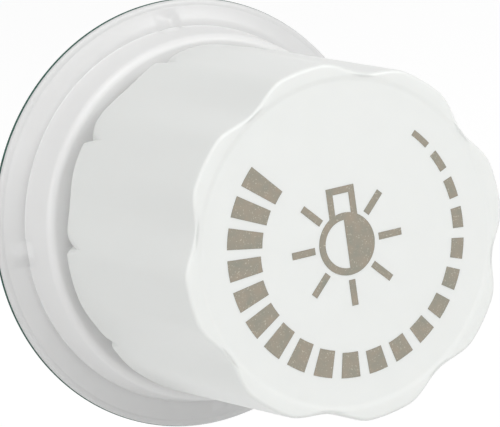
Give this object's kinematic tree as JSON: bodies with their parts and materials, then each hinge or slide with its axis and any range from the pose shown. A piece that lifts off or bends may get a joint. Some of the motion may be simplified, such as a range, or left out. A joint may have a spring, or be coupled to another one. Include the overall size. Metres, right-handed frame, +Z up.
{
  "type": "dimmer switch module",
  "caption": "Panel-mounted rotary dimmer with a push-on knob, printed level scale and lamp mark, flange, ring nut and screw terminals.",
  "frame": {"origin": "centre of the panel cut-out in the plane of the panel's front face, where the flange rests", "axes": "-Y out of the panel towards the user along the shaft, +Y behind the panel, +Z up through the lamp mark, +X to the user's right"},
  "size_m": [0.0408, 0.0487, 0.0408],
  "materials": {
    "knob_plastic": "satin moulded",
    "print_ink": "flat printed",
    "collar_plastic": "satin moulded",
    "bezel_plastic": "satin moulded",
    "seal_rubber": "matte",
    "shaft_steel": "turned",
    "spring_steel": "bright",
    "zinc_steel": "zinc plated",
    "bright_brass": "bright",
    "black_moulding": "matte",
    "grey_moulding": "matte moulded",
    "nut_plastic": "matte moulded",
    "carbon_film": "printed",
    "board_laminate": "lacquered",
    "ferrite": "sintered",
    "copper_wire": "enamelled",
    "film_box": "moulded",
    "chip_black": "moulded",
    "sink_metal": "plain",
    "resistor_coat": "lacquered",
    "clear_glass": "clear",
    "trimmer_blue": "moulded",
    "trimmer_white": "moulded",
    "terminal_plastic": "moulded"
  },
  "bodies": {
    "module": {"return_spring": "spring_steel", "switch_case": "black_moulding", "switch_base": "black_moulding", "fixed_contacts": "bright_brass", "front_housing": "collar_plastic", "bezel_ring": "bezel_plastic", "face_gasket": "seal_rubber", "bushing": "bright_brass", "lock_washer": "zinc_steel", "bushing_nut": "zinc_steel", "control_case": "grey_moulding", "control_floor": "grey_moulding", "resistor_track": "carbon_film", "control_pins": "bright_brass", "circuit_board": "board_laminate", "choke_bobbin": "ferrite", "choke_coil": "copper_wire", "film_capacitor": "film_box", "triac": "chip_black", "heat_sink": "sink_metal", "resistors": "resistor_coat", "diac": "clear_glass", "fuse": "clear_glass", "control_chip": "chip_black", "trimmer_base": "trimmer_blue", "rear_cover": "grey_moulding", "cover_screws": "zinc_steel", "terminal_block": "terminal_plastic", "contact_bars": "bright_brass"},
    "push": {"plunger": "black_moulding", "contact_bridge": "bright_brass"},
    "knob": {"knob_cap": "knob_plastic", "level_bars": "print_ink", "lamp_symbol": "print_ink", "knob_spring": "spring_steel", "shaft": "shaft_steel", "shaft_clip": "spring_steel"},
    "wiper": {"wiper_rotor": "black_moulding", "wiper_contact": "bright_brass"},
    "washer": {"slip_washer": "zinc_steel"},
    "nut": {"ring_nut": "nut_plastic"},
    "trimmer": {"trimmer_rotor": "trimmer_white"},
    "cage_1": {"terminal_cage_1": "zinc_steel"},
    "clamp_screw_1": {"terminal_screw_1": "zinc_steel"},
    "cage_2": {"terminal_cage_2": "zinc_steel"},
    "clamp_screw_2": {"terminal_screw_2": "zinc_steel"},
    "cage_3": {"terminal_cage_3": "zinc_steel"},
    "clamp_screw_3": {"terminal_screw_3": "zinc_steel"}
  },
  "joints": [
    {"name": "push", "type": "slide", "parent": "module", "child": "push", "axis": [0, 1, 0], "range_m": [0, 0.0013], "stiffness_N_per_m": 2000, "springref_m": -0.0008, "deforming": ["return_spring"]},
    {"name": "knob_turn", "type": "hinge", "parent": "push", "child": "knob", "pos_m": [0, 0, 0], "axis": [0, 1, 0], "range_deg": [-135, 135]},
    {"name": "wiper_turn", "type": "hinge", "parent": "module", "child": "wiper", "pos_m": [0, 0, 0], "axis": [0, 1, 0], "range_deg": [-136, 136]},
    {"name": "washer_slide", "type": "slide", "parent": "module", "child": "washer", "axis": [0, 1, 0], "range_m": [-0.0015, 0.002]},
    {"name": "nut_turn", "type": "hinge", "parent": "washer", "child": "nut", "pos_m": [0, 0.004, 0], "axis": [0, 1, 0], "range_deg": [-360.2, 480.2]},
    {"name": "trimmer_turn", "type": "hinge", "parent": "module", "child": "trimmer", "pos_m": [-0.0046, 0.0115, 0.0074], "axis": [0, 1, 0], "range_deg": [-125, 125]},
    {"name": "clamp_screw_1_turn", "type": "hinge", "parent": "module", "child": "clamp_screw_1", "pos_m": [-0.0056, 0.0149, -0.005], "axis": [0, 0, 1], "range_deg": [0, 1120.2]},
    {"name": "cage_1_slide", "type": "slide", "parent": "module", "child": "cage_1", "axis": [0, 0, -1], "range_m": [0, 0.0014]},
    {"name": "clamp_screw_2_turn", "type": "hinge", "parent": "module", "child": "clamp_screw_2", "pos_m": [0, 0.0149, -0.005], "axis": [0, 0, 1], "range_deg": [0, 1120.2]},
    {"name": "cage_2_slide", "type": "slide", "parent": "module", "child": "cage_2", "axis": [0, 0, -1], "range_m": [0, 0.0014]},
    {"name": "clamp_screw_3_turn", "type": "hinge", "parent": "module", "child": "clamp_screw_3", "pos_m": [0.0056, 0.0149, -0.005], "axis": [0, 0, 1], "range_deg": [0, 1120.2]},
    {"name": "cage_3_slide", "type": "slide", "parent": "module", "child": "cage_3", "axis": [0, 0, -1], "range_m": [0, 0.0014]}
  ],
  "couplings": [
    {"joint": "wiper_turn", "follows": "knob_turn", "ratio": 1},
    {"joint": "nut_turn", "follows": "washer_slide", "rad_per_m": 4188.8},
    {"joint": "clamp_screw_1_turn", "follows": "cage_1_slide", "rad_per_m": 13963},
    {"joint": "clamp_screw_2_turn", "follows": "cage_2_slide", "rad_per_m": 13963},
    {"joint": "clamp_screw_3_turn", "follows": "cage_3_slide", "rad_per_m": 13963}
  ]
}
